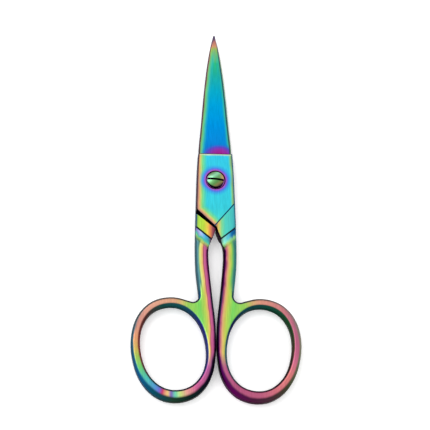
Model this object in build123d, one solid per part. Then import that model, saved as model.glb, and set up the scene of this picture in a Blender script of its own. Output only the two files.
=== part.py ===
from build123d import *
import os
from math import atan2, cos, degrees, pi, radians, sin, sqrt

# Small straight-bladed hairdressing shears, closed.
# Frame: the shears lie on the plane z = 0, the pivot axis is the Z axis, the blades point along +Y.
# The front half is the upper blade and the handle on the +X side. The rear half is the same forging
# turned 180 degrees about the long axis, so its blade is the lower one and its handle is on -X.

# ---- driving dimensions, mm -------------------------------------------------------------------
THICKNESS = 3.6          # overall thickness of the flat body and of each handle
LAP_GAP = 0.06           # running gap between the two flat lap faces
TIP_Y = 43.7             # blade tips
STEP_Y = 7.8             # raised step where the blade meets the pivot boss
HANDLE_GAP = 0.16        # gap left between the two handles when closed

BLADE_ROOT_HALF_WIDTH = 4.54
BLADE_TIP_HALF_WIDTH = 0.28
BLADE_BELLY = 0.3        # share of the taper that comes in late, toward the tip
BELLY_POWER = 5
EDGE_INSET = 0.28        # each cutting edge stops short of the other blade's spine
BLADE_ROOT_THICKNESS = 1.42
BLADE_TIP_THICKNESS = 0.6
BLADE_CROSS_DROP = 0.22  # the outer face falls this much from the spine to the cutting edge
SPINE_CHAMFER = 0.32
EDGE_BEVEL_WIDTH = 0.42
EDGE_LAND = 0.12         # height of the flat at the cutting edge
EDGE_SHRINK = 2.5        # the edge details shrink once the blade is this many times narrower
BLADE_STATIONS = (0, 0.2, 0.4, 0.6, 0.75, 0.86, 0.93, 0.975)  # sections, as shares of the length
ROOT_OVERLAP = 1.5       # how far the blade runs in under the boss
HOLLOW_DEPTH = 0.14      # hollow grind on the inner face
HOLLOW_RADIUS = 22.0
HOLLOW_START = 2.0       # the grind is deepest this far beyond the step

BOSS_TOP_HALF_WIDTH = 4.6
BOSS_LOW_HALF_WIDTH = 5.25
BOSS_CHAMFER = 0.32
BOSS_SIDE_MIDDLE = (-5.04, -0.2)  # the boss's free side bows out a little
LAP_CORNER = (-5.25, -8.6)    # lower left corner of the front half's lap
LAP_CORNER_ROUND = 0.8
LAP_CROSSING = (-0.05, -13.52)  # where the lap edge reaches the middle
WALL_DISTANCE = 10.9     # pivot axis to the other half's full-thickness shoulder
WALL_SLOPE = 39.0        # degrees, slope of the shoulder line across the shears
PAD_LENGTH = 2.85        # shoulder line to the end of the flat pad
GROOVE_WIDTH = 0.28
GROOVE_DEPTH = 0.16
GROOVE_OUTER = (4.95, -6.75)
GROOVE_INNER = (-0.62, -13.4)

SCOOP_RADIUS = 3.2       # hollow behind each pad
SCOOP_DEPTH = 0.62
SCOOP_SHIFT = 0.45       # its deepest line is this share of its half width past the pad
SHANK_ROUND = 0.85       # rounding along the shank and ring edges
ROUND_TOP_Y = -12.0      # edges centred above this belong to the boss and stay sharp

RING_CENTRE = (11.3, -46.95)
RING_OUTER_HALF_LENGTH = 13.97
RING_OUTER_HALF_WIDTH = 10.85
OPENING_CENTRE = (11.28, -46.6)
OPENING_HALF_LENGTH = 11.3
OPENING_HALF_WIDTH = 8.5
RING_TILT = radians(8.5)  # the long axis of each oval leans outward at the top
OVAL_POWER = 2.14        # 2 is an ellipse; a little more makes the shoulders fuller
OVAL_POINTS = 16
INNER_JOIN = radians(202.5)  # where the shank's inner edge meets the ring; one of the oval's points
WEB_JOIN = radians(112.5)  # where the web's top edge leaves the ring; one of the oval's points
WEB_CORNER_X = 4.55
WEB_ROUND = 1.6          # concave corner between the shank and the ring

SCREW_HEAD_RADIUS = 2.23
SCREW_HEAD_EDGE = 0.35   # height of the head's cylindrical edge above the blade
SCREW_DOME = 0.5         # further rise of the dome
SCREW_SLOT_WIDTH = 0.6
SCREW_SLOT_DEPTH = 0.55
SCREW_SLOT_ANGLE = -5
SHOULDER_RADIUS = 1.6
SHOULDER_CLEARANCE = 0.04
THREAD_RADIUS = 1.3
THREAD_GRIP = 0.02       # the thread bites this much into the tapped hole
THREAD_SETBACK = 0.1     # the screw end stays this far above the resting face
RECESS_CLEARANCE = 0.22
RECESS_DEPTH = 0.45
RECESS_CHAMFER = 0.26

# ---- worked out from the above ----------------------------------------------------------------
MID = THICKNESS / 2
LAP_FLOOR = MID + LAP_GAP / 2       # inner face of the front half
LAP_HEIGHT = THICKNESS - LAP_FLOOR
PAD_END = WALL_DISTANCE + PAD_LENGTH
OVERSIZE = 3 * THICKNESS            # how far cutting tools run past the metal
FAR = 40.0                          # half the size of the large cutting blocks


def block_beyond(distance, below):
    """Cutting block on one side of a sloping line that passes below the pivot at a distance.

    The line runs across the front half, falling from its +X side toward the middle.
    """
    side = -1 if below else 1
    block = Pos(0, side * FAR - distance, 0) * Box(2 * FAR, 2 * FAR, 2 * OVERSIZE)
    return Rot(0, 0, WALL_SLOPE) * block


# ---- outlines in the XY plane -----------------------------------------------------------------
# Outer edge of the front half, from the top of the boss to the ring.
SHANK_OUTER = [
    (BOSS_TOP_HALF_WIDTH, STEP_Y),
    (4.98, 1.2),
    (BOSS_LOW_HALF_WIDTH, -8.0),
    (5.52, -18.0),
    (5.5, -22.2),
    (5.26, -26.6),
    (4.66, -32.0),
]
# Inner edge of the same shank, from the crossing to where the handles meet.
SHANK_INNER = [
    LAP_CROSSING,
    (0.52, -15.2),
    (1.74, -18.2),
    (2.02, -21.6),
    (1.63, -26.8),
    (1.2, -31.0),
    (0.74, -35.2),
    (0.24, -40.0),
    (HANDLE_GAP / 2, -45.0),
]


def blade_half_width(y):
    """Half width of the closed blades: nearly straight at the root, rounding in to the tip."""
    along = (y - STEP_Y) / (TIP_Y - STEP_Y)
    taper = (1 - BLADE_BELLY) * along + BLADE_BELLY * along ** BELLY_POWER
    return BLADE_ROOT_HALF_WIDTH + (BLADE_TIP_HALF_WIDTH - BLADE_ROOT_HALF_WIDTH) * taper


def oval_point(angle, half_length, half_width):
    """Point of an upright oval centred on the origin; angle 0 is its +X end."""
    reach = (abs(cos(angle)) ** OVAL_POWER + abs(sin(angle)) ** OVAL_POWER) ** (-1 / OVAL_POWER)
    return (half_width * reach * cos(angle), half_length * reach * sin(angle))


def oval(centre, half_length, half_width):
    """Full-shouldered oval with its long axis leaning outward at the top."""
    angles = [2 * pi * step / OVAL_POINTS for step in range(OVAL_POINTS)]
    points = [oval_point(angle, half_length, half_width) for angle in angles]
    face = make_face(Spline(*points, periodic=True))
    return Pos(*centre) * Rot(0, 0, -degrees(RING_TILT)) * face


def ring_join(angle):
    """Point of the ring's outer oval at one of its angles, and the direction of the edge there."""
    ring = oval(RING_CENTRE, RING_OUTER_HALF_LENGTH, RING_OUTER_HALF_WIDTH).edges()[0]
    point = Vector(*oval_point(angle, RING_OUTER_HALF_LENGTH, RING_OUTER_HALF_WIDTH))
    point = point.rotate(Axis.Z, -degrees(RING_TILT)) + Vector(*RING_CENTRE)
    return point, ring.tangent_at(point)


def shank_inner():
    """Inner edge of the shank, running on smoothly into the ring's outer oval."""
    join, direction = ring_join(INNER_JOIN)
    start = Vector(*SHANK_INNER[1]) - Vector(*SHANK_INNER[0])
    return Spline(*SHANK_INNER, join, tangents=[start, direction])


def web_corner():
    """Where the shank's outer edge meets the tangent drawn back from the top of the ring."""
    join, direction = ring_join(WEB_JOIN)
    return join + direction * ((WEB_CORNER_X - join.X) / direction.X)


def shank_outer():
    """Outer edge of the boss and shank, down to the corner with the ring."""
    return Spline(*SHANK_OUTER, web_corner())


def head_outline():
    """Boss, lap and upper shank of the front half, seen from above."""
    outer = shank_outer()
    top_left = (-BOSS_TOP_HALF_WIDTH, STEP_Y)
    left = ThreePointArc(top_left, BOSS_SIDE_MIDDLE, LAP_CORNER)
    lap = Line(LAP_CORNER, LAP_CROSSING)
    inner = shank_inner()
    bottom = Line(inner @ 1, outer @ 1)
    top = Line(outer @ 0, top_left)
    return make_face([left, lap, inner, bottom, outer, top])


def handle_outline():
    """Shank, web and ring of the front half, seen from above, with the finger opening."""
    outer = shank_outer()
    inner = shank_inner()
    top = Line(outer @ 0, inner @ 0)
    through_ring = Polyline(inner @ 1, OPENING_CENTRE, ring_join(WEB_JOIN)[0])
    web_top = Line(through_ring @ 1, outer @ 1)
    shank = make_face([outer, top, inner, through_ring, web_top])
    web = shank + oval(RING_CENTRE, RING_OUTER_HALF_LENGTH, RING_OUTER_HALF_WIDTH)
    corner = web.vertices().sort_by_distance(web_corner())[0]
    web = fillet(corner, WEB_ROUND)
    return web - oval(OPENING_CENTRE, OPENING_HALF_LENGTH, OPENING_HALF_WIDTH)


# ---- the parts of one forging -----------------------------------------------------------------
def blade_section(y, half_width):
    """Cross-section of the front blade, spine on -X and cutting edge on +X."""
    along = max(y - STEP_Y, 0) / (TIP_Y - STEP_Y)
    size = half_width / BLADE_ROOT_HALF_WIDTH
    shrink = min(1, EDGE_SHRINK * size)
    top = BLADE_ROOT_THICKNESS + (BLADE_TIP_THICKNESS - BLADE_ROOT_THICKNESS) * along
    low_top = top - BLADE_CROSS_DROP * size
    chamfer_size = SPINE_CHAMFER * shrink
    edge_x = half_width - EDGE_INSET * shrink
    corners = [
        (-half_width, 0),
        (edge_x, 0),
        (edge_x, EDGE_LAND),
        (edge_x - EDGE_BEVEL_WIDTH * shrink, low_top),
        (chamfer_size - half_width, top),
        (-half_width, top - chamfer_size),
    ]
    section = make_face(Polyline(*corners, close=True))
    return Pos(0, y, LAP_FLOOR) * Rot(90, 0, 0) * section


def blade():
    """Front blade: tapering in width and thickness, with a hollow-ground inner face."""
    length = TIP_Y - STEP_Y
    root = blade_section(STEP_Y - ROOT_OVERLAP, BLADE_ROOT_HALF_WIDTH)
    stations = [STEP_Y + length * share for share in BLADE_STATIONS]
    sections = [blade_section(y, blade_half_width(y)) for y in stations]
    tip = blade_section(TIP_Y, BLADE_TIP_HALF_WIDTH)
    body = loft([root, *sections, tip])
    tilt = degrees(atan2(HOLLOW_DEPTH, length))
    grinder = Rot(90 + tilt, 0, 0) * Cylinder(HOLLOW_RADIUS, 3 * length)
    axis_z = LAP_FLOOR + HOLLOW_DEPTH - HOLLOW_RADIUS
    return body - Pos(-EDGE_INSET / 2, STEP_Y + HOLLOW_START, axis_z) * grinder


def boss():
    """Raised boss around the pivot and the flat pad behind it, at half thickness."""
    body = Pos(0, 0, LAP_FLOOR) * extrude(head_outline(), LAP_HEIGHT)
    body -= block_beyond(PAD_END, below=True)
    corner = body.edges().filter_by(Axis.Z).sort_by_distance((*LAP_CORNER, MID))[0]
    body = fillet(corner, LAP_CORNER_ROUND)
    rim = body.faces().sort_by(Axis.Z)[-1].edges()
    pad_end = rim.filter_by(GeomType.LINE).sort_by(Axis.Y)[0]
    return chamfer([edge for edge in rim if edge != pad_end], BOSS_CHAMFER)


def shoulder():
    """Full-thickness block between the other half's lap and the end of the pad."""
    body = extrude(head_outline(), LAP_HEIGHT + LAP_GAP)
    body -= block_beyond(WALL_DISTANCE, below=False)
    body -= block_beyond(PAD_END, below=True)
    outer = body.edges().filter_by(Plane.XY).group_by(Axis.Z)[0].sort_by(Axis.X)[-1]
    return chamfer(outer, BOSS_CHAMFER)


def handle():
    """Shank and finger ring with rounded edges, hollowed behind the pad on both faces."""
    body = extrude(handle_outline(), THICKNESS)
    rims = body.edges().filter_by(Plane.XY)
    long_rims = rims.filter_by(lambda edge: (edge @ 0.5).Y < ROUND_TOP_Y)
    body = fillet(long_rims, SHANK_ROUND)
    body -= block_beyond(WALL_DISTANCE, below=False)
    distance = PAD_END + sqrt(2 * SCOOP_RADIUS * SCOOP_DEPTH) * SCOOP_SHIFT
    cutter = Rot(0, 90, 0) * Cylinder(SCOOP_RADIUS, 4 * FAR)
    for height in (THICKNESS - SCOOP_DEPTH + SCOOP_RADIUS, SCOOP_DEPTH - SCOOP_RADIUS):
        body -= Rot(0, 0, WALL_SLOPE) * Pos(0, -distance, height) * cutter
    return body


def groove():
    """Thin ground line across the boss."""
    run = (GROOVE_OUTER[0] - GROOVE_INNER[0], GROOVE_OUTER[1] - GROOVE_INNER[1])
    length = sqrt(run[0] ** 2 + run[1] ** 2)
    middle = ((GROOVE_OUTER[0] + GROOVE_INNER[0]) / 2, (GROOVE_OUTER[1] + GROOVE_INNER[1]) / 2)
    angle = degrees(atan2(run[1], run[0]))
    tool = Box(length, GROOVE_WIDTH, 2 * GROOVE_DEPTH)
    return Pos(*middle, THICKNESS) * Rot(0, 0, angle) * tool


def forging():
    """One half without its pivot hole, lying as the front half."""
    body = blade() + boss() + shoulder() + handle()
    return body - groove()


# ---- the three pieces -------------------------------------------------------------------------
def front_half():
    """Front half with a clear bore and a chamfered recess for the screw head."""
    bore = Cylinder(SHOULDER_RADIUS + SHOULDER_CLEARANCE, OVERSIZE)
    recess_radius = SCREW_HEAD_RADIUS + RECESS_CLEARANCE
    recess = Pos(0, 0, THICKNESS - RECESS_DEPTH / 2) * Cylinder(recess_radius, RECESS_DEPTH)
    mouth = Cone(recess_radius, recess_radius + 2 * RECESS_CHAMFER, 2 * RECESS_CHAMFER)
    return forging() - bore - recess - Pos(0, 0, THICKNESS) * mouth


def rear_half():
    """The same forging turned over about its long axis, with the tapped hole."""
    turned = Pos(0, 0, THICKNESS) * Rot(0, 180, 0) * forging()
    return turned - Cylinder(THREAD_RADIUS - THREAD_GRIP, OVERSIZE)


def pivot_screw():
    """Slotted screw: domed head, plain shoulder for the front half, threaded end in the rear half."""
    seat = THICKNESS - RECESS_DEPTH + LAP_GAP
    edge_top = THICKNESS + SCREW_HEAD_EDGE
    head = Pos(0, 0, (seat + edge_top) / 2) * Cylinder(SCREW_HEAD_RADIUS, edge_top - seat)
    dome_radius = (SCREW_HEAD_RADIUS ** 2 + SCREW_DOME ** 2) / (2 * SCREW_DOME)
    dome = Pos(0, 0, edge_top + SCREW_DOME - dome_radius) * Sphere(dome_radius)
    blank = Pos(0, 0, edge_top + SCREW_DOME / 2) * Cylinder(SCREW_HEAD_RADIUS, SCREW_DOME)
    head += blank & dome
    slot = Box(3 * SCREW_HEAD_RADIUS, SCREW_SLOT_WIDTH, 2 * SCREW_SLOT_DEPTH)
    head -= Pos(0, 0, edge_top + SCREW_DOME) * Rot(0, 0, SCREW_SLOT_ANGLE) * slot
    shoulder_foot = MID - LAP_GAP / 2
    neck = Pos(0, 0, (shoulder_foot + seat) / 2) * Cylinder(SHOULDER_RADIUS, seat - shoulder_foot)
    thread_length = shoulder_foot - THREAD_SETBACK
    thread = Pos(0, 0, shoulder_foot - thread_length / 2) * Cylinder(THREAD_RADIUS, thread_length)
    return head + neck + thread


NODES = {
    "front_half": front_half,
    "rear_half": rear_half,
    "pivot_screw": pivot_screw,
}

os.makedirs("parts", exist_ok=True)
for name, make in NODES.items():
    export_step(make(), f"parts/{name}.step")
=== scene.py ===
from math import cos, radians, sin

import bpy
from mathutils import Matrix, Vector


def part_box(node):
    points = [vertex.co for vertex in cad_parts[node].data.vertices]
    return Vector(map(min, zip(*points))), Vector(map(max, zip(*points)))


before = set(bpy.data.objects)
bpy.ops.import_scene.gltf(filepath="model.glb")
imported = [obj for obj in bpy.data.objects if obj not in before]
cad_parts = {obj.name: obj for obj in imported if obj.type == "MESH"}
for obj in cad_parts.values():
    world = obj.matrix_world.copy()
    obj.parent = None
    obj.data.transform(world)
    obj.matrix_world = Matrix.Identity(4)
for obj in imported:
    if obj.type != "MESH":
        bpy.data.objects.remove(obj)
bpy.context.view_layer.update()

# Small hairdressing scissors with an iridescent coating, lying closed on a white table.
# Both halves are one forging, the rear one turned over about the long axis. Its coating is painted in
# the forging's own coordinates, in millimetres: u across, positive toward its finger ring, v along
# toward the tip, and a normal whose w part points out of the face that carries the boss.

MM = 0.001
DEGREE = radians(1)

# ---- outline of the forging, from the frame ----------------------------------------------------
front_low, front_high = (Vector(corner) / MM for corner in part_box("front_half"))
screw_high = Vector(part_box("pivot_screw")[1]) / MM
TIP_V = front_high.y
RING_OUTER_U = front_high.x
FOOT_V = front_low.y
BOSS_HALF_WIDTH = -front_low.x
THICKNESS = front_high.z
SCREW_RADIUS = screw_high.x
SLOT_DEPTH = 0.55
SLOT_FLOOR = screw_high.z - SLOT_DEPTH

STEP_V = 0.1785 * TIP_V  # where the blade meets the raised boss
BLADE_ROOT = 0.86 * BOSS_HALF_WIDTH  # half width of the blade at the boss
BLADE_TIP = 0.2  # and at the tip
STRAIGHT_TAPER = 0.7  # share of the narrowing that is even along the blade
BOSS_TOP_HALF_WIDTH = 0.875 * BOSS_HALF_WIDTH
LAP_CORNER = (-BOSS_HALF_WIDTH, -8.6)
LAP_NORMAL = (0.687, 0.726)  # across the boss's slanted lower edge, into the boss
GROOVE_POINT = (4.95, -6.75)
GROOVE_NORMAL = (0.767, -0.642)  # across the thin groove, toward the pad
PAD_END = 13.75  # pivot to the end of the pad, square to the pad's slope
PAD_LENGTH = 2.85
PAD_SLOPE = radians(39)
SCOOP_LENGTH = 3.0
WEB_TOP_V = -28.5
RING_TOP_V = -32.0
RING_TOP_BLEND = 1.5
RING_CENTRE = (0.51 * RING_OUTER_U, 0.77 * FOOT_V)
RING_HALF_WIDTH = 0.49 * RING_OUTER_U
RING_HALF_LENGTH = 0.229 * -FOOT_V
RING_TILT = radians(8.5)  # the ring leans outward at the top
# The shank's inner edge: u at each v.
SHANK_INNER = [
    (-45, 0.08),
    (-40, 0.24),
    (-35.2, 0.74),
    (-26.8, 1.63),
    (-21.6, 2.02),
    (-18.2, 1.74),
    (-15.2, 0.52),
    (-13.5, -0.05),
]

# ---- texture of the coating: features to the millimetre across, along and through ---------------
DRIFT_GRAIN = (0.25, 0.25, 0.25)
DRIFT_REACH = 0.5  # how far the colour bands wander, from one extreme to the other
STREAK_GRAIN = (2.2, 0.5, 2.2)
STREAK_REACH = 1.6
BRUSHING_GRAIN = (9, 0.35, 9)
CLOUD_GRAIN = (0.5, 0.3, 0.5)


# ---- numbers and colours that vary over a surface ----------------------------------------------
class Field:
    """A number that varies over the surface. Arithmetic on it adds math nodes to its material."""

    def __init__(self, tree, socket):
        self.tree = tree
        self.socket = socket

    def math(self, operation, *others):
        """The result of a math node that takes this number first and then the others."""
        node = self.tree.nodes.new("ShaderNodeMath")
        node.operation = operation
        for slot, value in zip(node.inputs, (self, *others)):
            if isinstance(value, Field):
                self.tree.links.new(value.socket, slot)
            else:
                slot.default_value = value
        return Field(self.tree, node.outputs[0])

    def __add__(self, other):
        return self.math("ADD", other)

    def __sub__(self, other):
        return self.math("SUBTRACT", other)

    def __mul__(self, other):
        return self.math("MULTIPLY", other)

    def __truediv__(self, other):
        return self.math("DIVIDE", other)

    def __pow__(self, other):
        return self.math("POWER", other)

    def size(self):
        """The number without its sign."""
        return self.math("ABSOLUTE")

    def least(self, other):
        """The smaller of two numbers."""
        return self.math("MINIMUM", other)

    def opposite(self):
        """0 where the number is 1, and 1 where it is 0."""
        return self * -1 + 1

    def rise(self, start, end):
        """0 where the number is at start, 1 at end, and smooth between. It may fall as well."""
        node = self.tree.nodes.new("ShaderNodeMapRange")
        node.interpolation_type = "SMOOTHSTEP"
        self.tree.links.new(self.socket, node.inputs["Value"])
        low, high, results = (start, end, (0, 1)) if start < end else (end, start, (1, 0))
        node.inputs["From Min"].default_value = low
        node.inputs["From Max"].default_value = high
        node.inputs["To Min"].default_value, node.inputs["To Max"].default_value = results
        return Field(self.tree, node.outputs["Result"])

    def above(self, level, blend=0.05):
        """1 above a level and 0 below it, smooth within a short way on both sides."""
        return self.rise(level - blend, level + blend)

    def share(self, start, end):
        """0 where the number is at start and 1 at end, in a straight line."""
        return (self - start) / (end - start)

    def curve(self, points):
        """The second number of each point, at the first one."""
        lows = [min(values) for values in zip(*points)]
        highs = [max(values) for values in zip(*points)]
        node = self.tree.nodes.new("ShaderNodeFloatCurve")
        line = node.mapping.curves[0]
        scaled = [[(point[i] - lows[i]) / (highs[i] - lows[i]) for i in (0, 1)] for point in points]
        line.points[0].location = scaled[0]
        line.points[1].location = scaled[-1]
        for point in scaled[1:-1]:
            line.points.new(*point)
        node.mapping.update()
        self.tree.links.new(self.share(lows[0], highs[0]).socket, node.inputs["Value"])
        return Field(self.tree, node.outputs[0]) * (highs[1] - lows[1]) + lows[1]


def linear(colour):
    """Screen colour, each part 0 to 255, as the linear light that a shader takes."""
    shares = [part / 255 for part in colour]
    light = [share / 12.92 if share <= 0.04045 else ((share + 0.055) / 1.055) ** 2.4 for share in shares]
    return (*light, 1)


def colours(field, *stops):
    """Colours along a number; each stop is the number and its colour."""
    tree = field.tree
    node = tree.nodes.new("ShaderNodeValToRGB")
    first, last = stops[0][0], stops[-1][0]
    tree.links.new(field.share(first, last).socket, node.inputs["Fac"])
    elements = node.color_ramp.elements
    for _ in stops[2:]:
        elements.new(0.5)
    for element, (at, colour) in zip(elements, stops):
        element.position = (at - first) / (last - first)
        element.color = linear(colour)
    return node.outputs["Color"]


def colour_socket(sockets, name):
    """A Mix node's colour socket of that name; it has one for each kind of data."""
    return next(socket for socket in sockets if socket.name == name and socket.type == "RGBA")


def mix_node(tree, blend, under, over):
    """Mix node for two colours, each a node's output or a screen colour."""
    node = tree.nodes.new("ShaderNodeMix")
    node.data_type = "RGBA"
    node.blend_type = blend
    for name, colour in (("A", under), ("B", over)):
        slot = colour_socket(node.inputs, name)
        if isinstance(colour, tuple):
            slot.default_value = linear(colour)
        else:
            tree.links.new(colour, slot)
    return node


def mix(mask, under, over):
    """The first colour where the mask is 0 and the second where it is 1."""
    node = mix_node(mask.tree, "MIX", under, over)
    mask.tree.links.new(mask.socket, node.inputs["Factor"])
    return colour_socket(node.outputs, "Result")


def multiply(tree, colour, shade):
    """The first colour, darkened by the second."""
    node = mix_node(tree, "MULTIPLY", colour, shade)
    node.inputs["Factor"].default_value = 1
    return colour_socket(node.outputs, "Result")


class Surface:
    """Where a point of a forging lies, and which way it faces, in the forging's own coordinates."""

    def __init__(self, tree, turned_over):
        side = -1 if turned_over else 1
        coordinates = tree.nodes.new("ShaderNodeTexCoord")
        self.tree = tree
        self.place = coordinates.outputs["Object"]
        x, y, z = self.parts(coordinates.outputs["Object"])
        normal_x, normal_y, normal_z = self.parts(coordinates.outputs["Normal"])
        drift = (self.noise(DRIFT_GRAIN, 2) - 0.5) * DRIFT_REACH
        self.u = x * (side / MM) + drift
        self.v = y * (1 / MM) + drift
        self.height = z * (1 / MM)
        self.normal_u = normal_x * side
        self.normal_v = normal_y
        self.normal_w = normal_z * side

    def parts(self, vector):
        """The three numbers of a vector."""
        node = self.tree.nodes.new("ShaderNodeSeparateXYZ")
        self.tree.links.new(vector, node.inputs[0])
        return [Field(self.tree, output) for output in node.outputs]

    def noise(self, per_mm, detail):
        """Noise with so many features to the millimetre along each axis."""
        scale = self.tree.nodes.new("ShaderNodeVectorMath")
        scale.operation = "MULTIPLY"
        scale.inputs[1].default_value = [count / MM for count in per_mm]
        self.tree.links.new(self.place, scale.inputs[0])
        node = self.tree.nodes.new("ShaderNodeTexNoise")
        node.inputs["Scale"].default_value = 1
        node.inputs["Detail"].default_value = detail
        self.tree.links.new(scale.outputs["Vector"], node.inputs["Vector"])
        return Field(self.tree, node.outputs["Fac"])


# ---- the coating, region by region, with painted shade and highlights --------------------------
def blade_half_width(s):
    """Half width of the blade, which narrows fastest near the tip."""
    along = s.v.share(STEP_V, TIP_V)
    taper = along * STRAIGHT_TAPER + (along ** 5) * (1 - STRAIGHT_TAPER)
    return taper * (BLADE_TIP - BLADE_ROOT) + BLADE_ROOT


def blade_outer_colour(s):
    """Outer face of the blade: dusky tip, then green through teal and blue to violet at the step."""
    half_width = blade_half_width(s)
    from_spine = s.u + half_width
    from_edge = half_width - s.u
    core = colours(
        s.v,
        (8, (20, 125, 215)),
        (11.5, (10, 140, 222)),
        (16, (0, 150, 228)),
        (22, (0, 165, 225)),
        (27, (10, 175, 205)),
        (31, (30, 180, 170)),
        (35, (50, 195, 130)),
        (37.6, (140, 205, 80)),
        (39.6, (175, 195, 75)),
        (40.4, (222, 155, 115)),
        (41.8, (190, 120, 115)),
        (42.6, (105, 85, 112)),
        (43.5, (80, 72, 105)),
    )
    spine_band = colours(
        from_spine,
        (0.35, (135, 180, 112)),
        (0.7, (105, 206, 142)),
        (1.2, (55, 192, 182)),
        (1.9, (20, 172, 210)),
    )
    edge_band = colours(
        from_edge,
        (0.3, (120, 140, 110)),
        (0.55, (85, 175, 120)),
        (0.9, (50, 190, 160)),
        (1.4, (20, 165, 205)),
    )
    spine_line = colours(
        s.v,
        (8, (85, 90, 65)),
        (28, (140, 110, 90)),
        (38, (195, 125, 115)),
        (42, (90, 80, 105)),
    )
    below_tip = s.v.rise(41, 36)
    colour = mix(from_spine.rise(2.1, 0.8) * below_tip, core, spine_band)
    colour = mix(from_edge.rise(1.8, 0.4) * below_tip, colour, edge_band)
    colour = mix(from_spine.rise(0.45, 0.2), colour, spine_line)
    # An oval flush of violet that lies against the step.
    from_step = (((s.u - 1.2) / 4.6) ** 2 + ((s.v - STEP_V) / 2.7) ** 2).math("SQRT")
    flush = colours(
        from_step,
        (0, (165, 35, 135)),
        (0.45, (150, 50, 165)),
        (0.75, (90, 75, 200)),
        (1, (30, 110, 215)),
    )
    return mix(from_step.rise(1.2, 0.7), colour, flush)


def blade_inner_colour(s):
    """Inner face of the blade, seen when the scissors are open."""
    return colours(
        s.v,
        (8, (125, 145, 125)),
        (22, (105, 160, 140)),
        (34, (135, 165, 118)),
        (42, (120, 95, 110)),
    )


def boss_colour(s):
    """Boss: cyan centre, yellow and peach along the left edge, violet round the screw, a painted
    highlight at the step.
    """
    widening = s.v.share(STEP_V, LAP_CORNER[1])
    half_width = widening * (BOSS_HALF_WIDTH - BOSS_TOP_HALF_WIDTH) + BOSS_TOP_HALF_WIDTH
    from_lap = (s.u - LAP_CORNER[0]) * LAP_NORMAL[0] + (s.v - LAP_CORNER[1]) * LAP_NORMAL[1]
    from_left = (s.u + half_width).least(from_lap) + s.v.rise(-7, 5) * 0.4
    from_right = half_width - s.u
    core = colours(
        s.v,
        (-13, (80, 220, 200)),
        (-8, (60, 210, 225)),
        (8, (55, 205, 235)),
    )
    left_band = colours(
        from_left,
        (0.1, (140, 105, 115)),
        (0.45, (190, 140, 125)),
        (0.75, (230, 172, 122)),
        (1.05, (212, 210, 120)),
        (1.5, (132, 222, 138)),
        (2.3, (80, 216, 192)),
        (3.1, (60, 208, 230)),
    )
    right_band = colours(
        from_right,
        (0.1, (75, 110, 125)),
        (0.45, (140, 175, 115)),
        (0.8, (125, 215, 140)),
        (1.3, (75, 215, 200)),
    )
    colour = mix(from_left.rise(3.1, 2.3), core, left_band)
    colour = mix(from_right.rise(1.3, 0.5), colour, right_band)
    from_pivot = (s.u ** 2 + s.v ** 2).math("SQRT")
    halo = colours(
        from_pivot,
        (1.5, (60, 160, 230)),
        (2.0, (120, 110, 220)),
        (2.55, (198, 92, 175)),
        (2.9, (165, 92, 205)),
        (3.2, (95, 118, 228)),
        (3.75, (60, 162, 235)),
    )
    colour = mix(from_pivot.rise(4.7, 3.3), colour, halo)
    # A painted highlight along the boss's edge at the step.
    step_highlight = s.v.rise(STEP_V - 0.9, STEP_V - 0.2)
    return mix(step_highlight, colour, (215, 225, 185))


def behind_pad(s):
    """How far a point lies behind the end of the pad, square to the pad's sloping end."""
    return s.u * sin(PAD_SLOPE) - s.v * cos(PAD_SLOPE) - PAD_END


def pad_colour(s, far_side):
    """Flat pad between the laps and the shank; the two faces of a half differ."""
    if far_side:
        return colours(
            s.u,
            (0.2, (70, 20, 60)),
            (0.9, (150, 80, 90)),
            (1.6, (230, 145, 85)),
            (2.3, (238, 212, 85)),
            (3.3, (188, 222, 70)),
            (4.6, (175, 225, 80)),
            (5.2, (120, 130, 105)),
        )
    return colours(
        s.u,
        (0.2, (170, 120, 90)),
        (0.8, (225, 205, 105)),
        (1.6, (130, 220, 150)),
        (2.6, (85, 212, 195)),
        (4.5, (75, 195, 195)),
        (5.3, (55, 120, 145)),
    )


def shank_colour(s, pink):
    """Bands of coating colour along the shank, with painted shade: dark purple at its inner edge and
    slate at its outer edge.
    """
    from_inner = s.u - s.v.curve(SHANK_INNER)
    if pink:
        bands = colours(
            from_inner,
            (0.4, (75, 15, 70)),
            (0.65, (185, 85, 140)),
            (1.25, (205, 105, 150)),
            (1.4, (150, 78, 85)),
            (1.6, (230, 165, 120)),
            (1.95, (232, 215, 120)),
            (2.4, (215, 232, 140)),
            (2.7, (80, 132, 120)),
            (3.2, (66, 108, 116)),
        )
    else:
        bands = colours(
            from_inner,
            (0.45, (55, 8, 55)),
            (0.7, (120, 52, 92)),
            (0.95, (188, 108, 115)),
            (1.25, (225, 165, 130)),
            (1.6, (218, 202, 105)),
            (2.0, (185, 205, 90)),
            (2.4, (120, 192, 95)),
            (2.75, (82, 160, 120)),
            (3.1, (68, 128, 126)),
        )
    web = colours(
        from_inner,
        (1.6, (232, 185, 110)),
        (2.2, (190, 212, 90)),
        (3.6, (125, 215, 100)),
        (5.5, (150, 212, 95)),
    )
    on_web = s.v.rise(WEB_TOP_V, RING_TOP_V) * from_inner.rise(1.2, 2.3)
    return mix(on_web, bands, web)


def ring_angle(s):
    """Direction from the ring's centre in degrees: 0 outward, 90 toward the tip."""
    return (s.v - RING_CENTRE[1]).math("ARCTAN2", s.u - RING_CENTRE[0]) * (1 / DEGREE)


def below_ring_top(s):
    """1 on the ring and 0 on the shank, by how far down the handle a point lies."""
    return s.v.rise(RING_TOP_V + RING_TOP_BLEND, RING_TOP_V)


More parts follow.
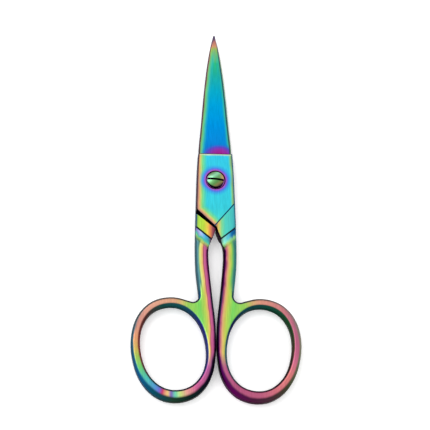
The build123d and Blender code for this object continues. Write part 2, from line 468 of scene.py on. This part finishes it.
def ring_colour(s, pink, angle):
    """Top and bottom of the finger ring, by the angle round its centre in degrees."""
    if pink:
        return colours(
            angle,
            (-180, (190, 110, 160)),
            (-147, (175, 90, 145)),
            (-120, (205, 100, 150)),
            (-107, (235, 165, 150)),
            (-99, (200, 225, 130)),
            (-93, (110, 220, 175)),
            (-88, (125, 90, 190)),
            (-84, (240, 205, 130)),
            (-77, (205, 60, 110)),
            (-72, (110, 110, 210)),
            (-66, (85, 150, 205)),
            (-50, (80, 192, 178)),
            (-32, (108, 200, 112)),
            (-15, (162, 195, 90)),
            (-3, (205, 180, 90)),
            (14, (228, 160, 115)),
            (38, (215, 148, 135)),
            (68, (225, 165, 140)),
            (92, (222, 165, 130)),
            (106, (205, 195, 105)),
            (120, (170, 212, 90)),
        )
    return colours(
        angle,
        (-180, (180, 102, 138)),
        (-145, (190, 96, 138)),
        (-120, (182, 88, 128)),
        (-90, (192, 98, 130)),
        (-68, (215, 118, 128)),
        (-43, (218, 125, 122)),
        (-18, (202, 108, 138)),
        (8, (185, 98, 130)),
        (35, (188, 105, 132)),
        (62, (208, 128, 132)),
        (90, (225, 155, 132)),
        (106, (200, 190, 105)),
        (120, (165, 210, 90)),
    )


def outer_shade_band(s, angle):
    """1 on the outer part of a ring's face, except where it joins the shank, and 0 elsewhere; there the
    face takes the walls' painted shade.
    """
    across, along = s.u - RING_CENTRE[0], s.v - RING_CENTRE[1]
    upright_u = across * cos(RING_TILT) - along * sin(RING_TILT)
    upright_v = across * sin(RING_TILT) + along * cos(RING_TILT)
    reach = (upright_u / RING_HALF_WIDTH) ** 2 + (upright_v / RING_HALF_LENGTH) ** 2
    off_the_join = angle.rise(70, 20) * angle.rise(-178, -160) * below_ring_top(s)
    return reach.rise(0.83, 0.93) * off_the_join


def outer_wall_colour(angle, pink):
    """Outer side of the finger ring, in painted shade over its coating colour."""
    if pink:
        return colours(
            angle,
            (-180, (14, 6, 24)),
            (-135, (18, 12, 32)),
            (-110, (14, 36, 34)),
            (-90, (32, 62, 46)),
            (-68, (14, 78, 98)),
            (-45, (18, 88, 132)),
            (-20, (32, 82, 122)),
            (5, (42, 84, 104)),
            (45, (70, 78, 80)),
            (90, (88, 80, 76)),
            (120, (36, 38, 62)),
            (180, (60, 8, 55)),
        )
    return colours(
        angle,
        (-180, (44, 0, 50)),
        (-150, (66, 8, 70)),
        (-120, (92, 10, 82)),
        (-100, (76, 28, 60)),
        (-80, (72, 46, 56)),
        (-55, (66, 68, 48)),
        (-25, (104, 106, 84)),
        (5, (128, 126, 108)),
        (45, (140, 120, 118)),
        (90, (88, 80, 76)),
        (120, (30, 34, 58)),
        (180, (40, 0, 42)),
    )


def inner_wall_colour(angle, pink):
    """Side of the finger opening, in painted shade over its coating colour."""
    if pink:
        return colours(
            angle,
            (-180, (58, 66, 126)),
            (-120, (44, 28, 48)),
            (-60, (40, 70, 74)),
            (0, (138, 62, 62)),
            (45, (92, 52, 48)),
            (75, (28, 76, 72)),
            (100, (28, 86, 92)),
            (140, (44, 46, 124)),
            (180, (58, 66, 126)),
        )
    return colours(
        angle,
        (-180, (62, 102, 112)),
        (-110, (60, 26, 50)),
        (-50, (48, 28, 34)),
        (0, (70, 56, 44)),
        (45, (34, 76, 44)),
        (75, (24, 76, 62)),
        (110, (26, 72, 80)),
        (140, (28, 30, 84)),
        (180, (62, 102, 112)),
    )


def wall_colour(s, pink, angle):
    """Sides of the forging, in painted shade over their coating colour, darker than its faces."""
    shank_inner = (74, 16, 66) if pink else (42, 2, 42)
    shank_outer = (62, 100, 112) if pink else (58, 120, 118)
    shank = mix(s.normal_u.above(0, blend=0.2), shank_inner, shank_outer)
    boss = mix(s.normal_u.above(0, blend=0.3), (122, 84, 104), (52, 98, 122))
    body = mix(s.v.rise(-13.5, -11.5), shank, boss)
    # The step in the forging that the other half closes against is painted nearly black, as shade.
    facing_lap = (s.normal_u * -LAP_NORMAL[0] - s.normal_v * LAP_NORMAL[1]).rise(0.3, 0.6)
    body = mix(facing_lap * s.v.rise(-16, -14), body, (10, 4, 12))

    turn = angle * DEGREE
    facing_out = s.normal_u * turn.math("COSINE") + s.normal_v * turn.math("SINE")
    inner_wall = inner_wall_colour(angle, pink)
    ring = mix(facing_out.above(0, blend=0.15), inner_wall, outer_wall_colour(angle, pink))
    return mix(below_ring_top(s), body, ring)


def near_face_colour(s):
    """Boss and pad on the face that carries the boss, with a painted shade line in the thin groove
    between them.
    """
    past_groove = (s.u - GROOVE_POINT[0]) * GROOVE_NORMAL[0] + (s.v - GROOVE_POINT[1]) * GROOVE_NORMAL[1]
    face = mix(past_groove.above(0), boss_colour(s), pad_colour(s, far_side=False))
    # A painted shade line along the groove at the foot of the pad.
    groove_shade = past_groove.size().rise(0.2, 0.12)
    return mix(groove_shade, face, (18, 62, 105))


def far_face_colour(s, behind):
    """Sunken lap face, darkening toward the pad into painted shade, and pad on the other face."""
    # The lap darkens toward the pad into painted shade, near black.
    lap = colours(
        behind,
        (-6.5, (80, 130, 130)),
        (-5, (45, 40, 60)),
        (-3, (8, 4, 10)),
    )
    on_pad = behind.above(-PAD_LENGTH, blend=0.03)
    return mix(on_pad, lap, pad_colour(s, far_side=True))


def scoop_colour(s, behind, near_side):
    """Hollow behind the pad, streaked where it runs out into the shank."""
    streaked = behind + (s.noise(STREAK_GRAIN, 2) - 0.5) * STREAK_REACH
    near = colours(
        s.u,
        (0.8, (120, 190, 150)),
        (2.2, (140, 235, 215)),
        (3.4, (90, 200, 225)),
        (4.3, (20, 110, 175)),
        (5.4, (30, 90, 130)),
    )
    near = mix(streaked.rise(0.9, 2.4), near, (150, 215, 110))
    far = colours(
        s.u,
        (1.0, (110, 60, 95)),
        (2.0, (70, 150, 165)),
        (3.0, (80, 175, 225)),
        (4.0, (175, 195, 242)),
        (5.2, (120, 100, 170)),
    )
    far = mix(streaked.rise(0.6, 1.4), far, (80, 205, 175))
    far = mix(streaked.rise(1.3, 2.2), far, (175, 222, 105))
    scoop = mix(near_side, far, near)
    # Painted shade, darker along the inner edge.
    inner_rim_shade = s.u.rise(2.2, 1.0)
    return mix(inner_rim_shade, scoop, (105, 45, 80))


def face_colour(s, pink, angle):
    """Faces of the forging, from the ring up to the blade."""
    near_side = s.normal_w.above(0)
    behind = behind_pad(s)
    pad = mix(near_side, far_face_colour(s, behind), near_face_colour(s))
    on_ring = angle.rise(-178, -150) * angle.rise(112, 98) * below_ring_top(s)
    shank = mix(on_ring, shank_colour(s, pink), ring_colour(s, pink, angle))
    handle = mix(behind.rise(1.4, 3.2), scoop_colour(s, behind, near_side), shank)
    colour = mix(behind.above(0, blend=0.04), pad, handle)
    # A painted shade line along the end of the pad.
    pad_end_shade = behind.size().rise(0.2, 0.1)
    colour = mix(pad_end_shade, colour, (26, 24, 48))
    blade = mix(near_side, blade_inner_colour(s), blade_outer_colour(s))
    return mix(s.v.above(STEP_V, blend=0.02), colour, blade)


def finish_metal(s, shader, colour):
    """Satin metal, finely brushed along its length, with a slightly cloudy gloss."""
    brushing = s.noise(BRUSHING_GRAIN, 3)
    clouds = s.noise(CLOUD_GRAIN, 3)
    shade = colours(brushing, (0.3, (218, 218, 218)), (0.7, (246, 246, 246)))
    s.tree.links.new(multiply(s.tree, colour, shade), shader.inputs["Base Color"])
    shader.inputs["Metallic"].default_value = 1
    shader.inputs["Specular Tint"].default_value = (0.4, 0.4, 0.4, 1)  # keeps grazing edges dark
    roughness = brushing * 0.12 + clouds * 0.08 + 0.22
    s.tree.links.new(roughness.socket, shader.inputs["Roughness"])
    bump = s.tree.nodes.new("ShaderNodeBump")
    bump.inputs["Strength"].default_value = 0.12
    bump.inputs["Distance"].default_value = 0.02 * MM
    s.tree.links.new(brushing.socket, bump.inputs["Height"])
    s.tree.links.new(bump.outputs["Normal"], shader.inputs["Normal"])


def new_material(name):
    """Material and its shader."""
    material = bpy.data.materials.new(name)
    material.use_nodes = True
    return material, material.node_tree.nodes["Principled BSDF"]


def forging_material(name, turned_over, pink):
    """Coating of one half: its faces, with painted shade darkening into its walls where the surface turns
    away.
    """
    material, shader = new_material(name)
    s = Surface(material.node_tree, turned_over)
    angle = ring_angle(s)
    behind = behind_pad(s)
    # The scoop and the blade's bevels slope, and still count as faces.
    in_scoop = behind.rise(-0.3, 0) * behind.rise(SCOOP_LENGTH + 0.4, SCOOP_LENGTH)
    on_blade = s.v.rise(STEP_V - 0.1, STEP_V)
    facing = (s.normal_w.size() + in_scoop * 0.25 + on_blade * 0.1).rise(0.9, 0.997)
    # Painted shade: the outer part of each ring's face takes the dark wall colours.
    facing = facing * outer_shade_band(s, angle).opposite()
    colour = mix(facing, wall_colour(s, pink, angle), face_colour(s, pink, angle))
    finish_metal(s, shader, colour)
    return material


def screw_material():
    """Screw head: green, with a painted mint highlight at the upper left, tan at the right, and painted
    shade toward the lower right, in the slot, on the lower rim and on the steep sides.
    """
    material, shader = new_material("coated_screw")
    s = Surface(material.node_tree, turned_over=False)
    # Painted light: a mint highlight toward the upper left and painted shade toward the lower right, over
    # the head's green.
    across = s.u * 0.6 - s.v * 0.8
    colour = colours(
        across,
        (-2.0, (120, 150, 110)),
        (-1.1, (150, 225, 180)),
        (-0.2, (110, 170, 110)),
        (0.8, (95, 150, 80)),
        (1.5, (140, 130, 80)),
        (2.1, (60, 40, 60)),
    )
    upper_right = s.u.rise(0.9, 2.0) * s.v.rise(-0.8, 0.6)
    colour = mix(upper_right, colour, (200, 160, 120))
    on_rim = (s.u ** 2 + s.v ** 2).math("SQRT").rise(SCREW_RADIUS - 0.3, SCREW_RADIUS - 0.05)
    # Painted shade: a dark crescent on the lower rim of the head.
    lower_rim_shade = on_rim * s.v.rise(-0.3, -1.3)
    colour = mix(lower_rim_shade, colour, (28, 4, 34))
    # Painted shade on the slot floor.
    on_slot_floor = s.height.rise(SLOT_FLOOR + 0.04, SLOT_FLOOR + 0.01)
    colour = mix(on_slot_floor, colour, (10, 6, 10))
    # Painted shade on the steep sides of the head.
    steep = s.normal_w.rise(0.75, 0.4)
    colour = mix(steep, colour, (26, 16, 30))
    finish_metal(s, shader, colour)
    return material


def give(node, material):
    """Put a material on a node of the frame, in place of what it had."""
    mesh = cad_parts[node].data
    mesh.materials.clear()
    mesh.materials.append(material)


# ---- studio ------------------------------------------------------------------------------------
def area_light(name, place, size, power):
    """Round soft light that looks at the pivot."""
    data = bpy.data.lights.new(name, "AREA")
    data.shape = "DISK"
    data.size = size
    data.energy = power
    light = bpy.data.objects.new(name, data)
    light.location = place
    light.rotation_mode = "QUATERNION"
    light.rotation_quaternion = (-Vector(place)).to_track_quat("-Z", "Y")
    bpy.context.scene.collection.objects.link(light)


def photo_camera():
    """Camera above the handles, a little to the left, with the blades pointing up the frame."""
    azimuth = radians(-14.3)
    elevation = radians(69.3)
    roll = radians(-0.4)
    distance = 420 * MM
    target = Vector((-0.07, -9.4, THICKNESS / 2)) * MM

    back = Vector((sin(azimuth) * cos(elevation), -cos(azimuth) * cos(elevation), sin(elevation)))
    up = Vector((0, 1, 0))
    up = (up - up.dot(back) * back).normalized()
    right = up.cross(back)
    turned_right = cos(roll) * right + sin(roll) * up
    turned_up = cos(roll) * up - sin(roll) * right
    rotation = Matrix((turned_right, turned_up, back)).transposed().to_4x4()

    data = bpy.data.cameras.new("camera")
    data.sensor_width = 36
    data.lens = 131
    data.clip_start = 0.01
    camera = bpy.data.objects.new("camera", data)
    camera.matrix_world = Matrix.Translation(target + distance * back) @ rotation
    bpy.context.scene.collection.objects.link(camera)
    bpy.context.scene.camera = camera


def floor():
    """White table top, just under the resting face."""
    half = 1.5
    height = -0.02 * MM
    mesh = bpy.data.meshes.new("floor")
    corners = [(-half, -half, height), (half, -half, height), (half, half, height), (-half, half, height)]
    mesh.from_pydata(corners, [], [(0, 1, 2, 3)])
    material, shader = new_material("white_table")
    shader.inputs["Base Color"].default_value = (0.95, 0.95, 0.95, 1)
    shader.inputs["Roughness"].default_value = 0.7
    shader.inputs["Specular IOR Level"].default_value = 0.2
    shader.inputs["Emission Color"].default_value = (1, 1, 1, 1)
    shader.inputs["Emission Strength"].default_value = 0.2
    mesh.materials.append(material)
    table = bpy.data.objects.new("floor", mesh)
    bpy.context.scene.collection.objects.link(table)


def surroundings():
    """Even white light from all round."""
    world = bpy.data.worlds.new("studio")
    world.use_nodes = True
    background = world.node_tree.nodes["Background"]
    background.inputs["Color"].default_value = (1, 1, 1, 1)
    background.inputs["Strength"].default_value = 1.12
    bpy.context.scene.world = world


give("front_half", forging_material("coated_steel_front", turned_over=False, pink=False))
give("rear_half", forging_material("coated_steel_rear", turned_over=True, pink=True))
give("pivot_screw", screw_material())

photo_camera()
floor()
surroundings()
area_light("key", place=(-0.5, 0.3, 0.75), size=0.8, power=3)
# Plain display colours, so that the white table stays white.
bpy.context.scene.view_settings.view_transform = "Standard"
